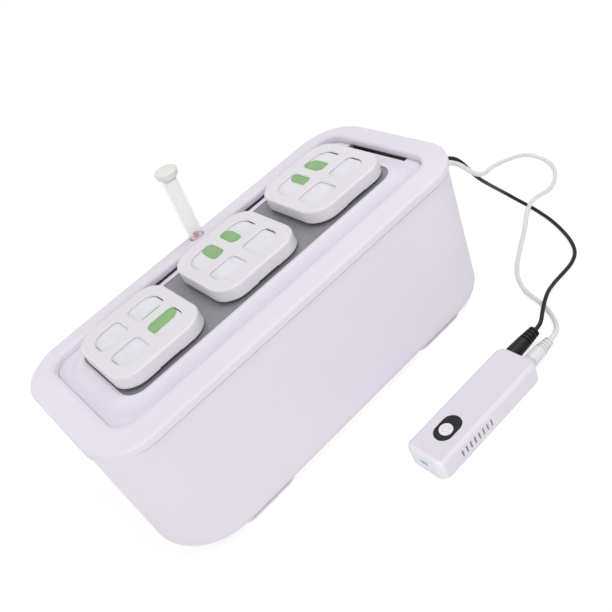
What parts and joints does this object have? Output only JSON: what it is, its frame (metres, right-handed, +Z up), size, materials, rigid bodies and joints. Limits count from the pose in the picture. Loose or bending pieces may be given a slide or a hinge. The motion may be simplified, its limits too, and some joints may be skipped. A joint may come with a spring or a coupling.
{
  "type": "hydroponic planter box",
  "caption": "Long rounded water box with a lid of square window-capped growing pods, a leaning level tube with red float marker and a corded hand-sized pump unit.",
  "frame": {"origin": "centre of the plinth's bottom face, on the surface that the box stands on", "axes": "+X along the box towards the end with the cords, +Y to the back where the level tube stands, +Z up"},
  "size_m": [0.4553, 0.2349, 0.1814],
  "materials": {
    "shell_white": "satin moulded, pale lavender white",
    "rim_white": "satin moulded, pale lavender white",
    "cap_white": "satin moulded white",
    "panel_grey": "fine matte mid grey",
    "clear_tube": "frosted clear acrylic",
    "ivory": "satin ivory",
    "foam": "fine closed-cell foam",
    "marker_red": "gloss red",
    "grommet_rubber": "soft matte rubber",
    "pump_dark": "fine matte black",
    "impeller_white": "moulded white",
    "stone_grey": "sintered grain",
    "unit_white": "satin moulded, pale lavender white",
    "bezel_black": "gloss black",
    "button_white": "satin white",
    "board_green": "solder mask",
    "steel": "drawn steel",
    "battery_foil": "foil pouch",
    "basket_grey": "moulded dark grey",
    "sponge_white": "open-cell growing sponge",
    "tag_green": "smooth green film",
    "lead_black": "matte sheath",
    "hose_white": "soft white tube"
  },
  "bodies": {
    "planter": {"tank_shell": "shell_white", "base_plinth": "shell_white", "rim_collar": "rim_white", "gauge_tube": "clear_tube", "gauge_cap": "ivory", "gauge_end_ring": "ivory", "cord_grommet": "grommet_rubber", "pump_body": "pump_dark", "pump_cover": "pump_dark", "pump_feet": "grommet_rubber", "air_stone": "stone_grey", "unit_housing": "unit_white", "unit_end_cap": "unit_white", "button_bezel": "bezel_black", "key_switch": "bezel_black", "circuit_board": "board_green", "charge_port": "steel", "battery_pack": "battery_foil", "air_pump_motor": "steel", "air_pump_head": "bezel_black", "hose_nozzle": "ivory", "lead_socket": "bezel_black", "lead_plug": "lead_black", "plug_barrel": "steel", "hose_connector": "hose_white", "pump_lead": "lead_black", "air_hose": "hose_white", "inner_lead": "lead_black", "inner_hose": "hose_white"},
    "lid": {"lid_tray": "rim_white", "top_panel": "panel_grey"},
    "float": {"float_body": "foam", "float_stem": "ivory", "float_disc": "ivory", "float_marker": "marker_red"},
    "power_button": {"power_button": "button_white"},
    "impeller": {"pump_impeller": "impeller_white"},
    "crank": {"air_pump_crank": "ivory"},
    "basket_1": {"net_basket_1": "basket_grey", "sponge_1": "sponge_white", "tag_1": "tag_green"},
    "cap_1": {"window_cap_1": "cap_white"},
    "basket_2": {"net_basket_2": "basket_grey", "sponge_2": "sponge_white", "tag_2": "tag_green"},
    "cap_2": {"window_cap_2": "cap_white"},
    "basket_3": {"net_basket_3": "basket_grey", "sponge_3": "sponge_white", "tag_3": "tag_green"},
    "cap_3": {"window_cap_3": "cap_white"}
  },
  "joints": [
    {"name": "lid_lift", "type": "slide", "parent": "planter", "child": "lid", "axis": [0, 0, 1], "range_m": [0, 0.1]},
    {"name": "basket_1_lift", "type": "slide", "parent": "lid", "child": "basket_1", "axis": [0, 0, 1], "range_m": [0, 0.06]},
    {"name": "cap_1_lift", "type": "slide", "parent": "basket_1", "child": "cap_1", "axis": [0, 0, 1], "range_m": [0, 0.03]},
    {"name": "basket_2_lift", "type": "slide", "parent": "lid", "child": "basket_2", "axis": [0, 0, 1], "range_m": [0, 0.06]},
    {"name": "cap_2_lift", "type": "slide", "parent": "basket_2", "child": "cap_2", "axis": [0, 0, 1], "range_m": [0, 0.03]},
    {"name": "basket_3_lift", "type": "slide", "parent": "lid", "child": "basket_3", "axis": [0, 0, 1], "range_m": [0, 0.06]},
    {"name": "cap_3_lift", "type": "slide", "parent": "basket_3", "child": "cap_3", "axis": [0, 0, 1], "range_m": [0, 0.03]},
    {"name": "float_rise", "type": "slide", "parent": "planter", "child": "float", "axis": [0.0776, 0, 0.997], "range_m": [0, 0.04]},
    {"name": "power_press", "type": "slide", "parent": "planter", "child": "power_button", "axis": [0, 0, -1], "range_m": [0, 0.0006], "stiffness_N_per_m": 1500},
    {"name": "impeller_spin", "type": "hinge", "parent": "planter", "child": "impeller", "pos_m": [0.1025, -0.03, 0.0226], "axis": [1, 0, 0], "continuous": true},
    {"name": "crank_spin", "type": "hinge", "parent": "planter", "child": "crank", "pos_m": [0.065, -0.15, 0.008], "axis": [1, 0, 0], "continuous": true}
  ]
}
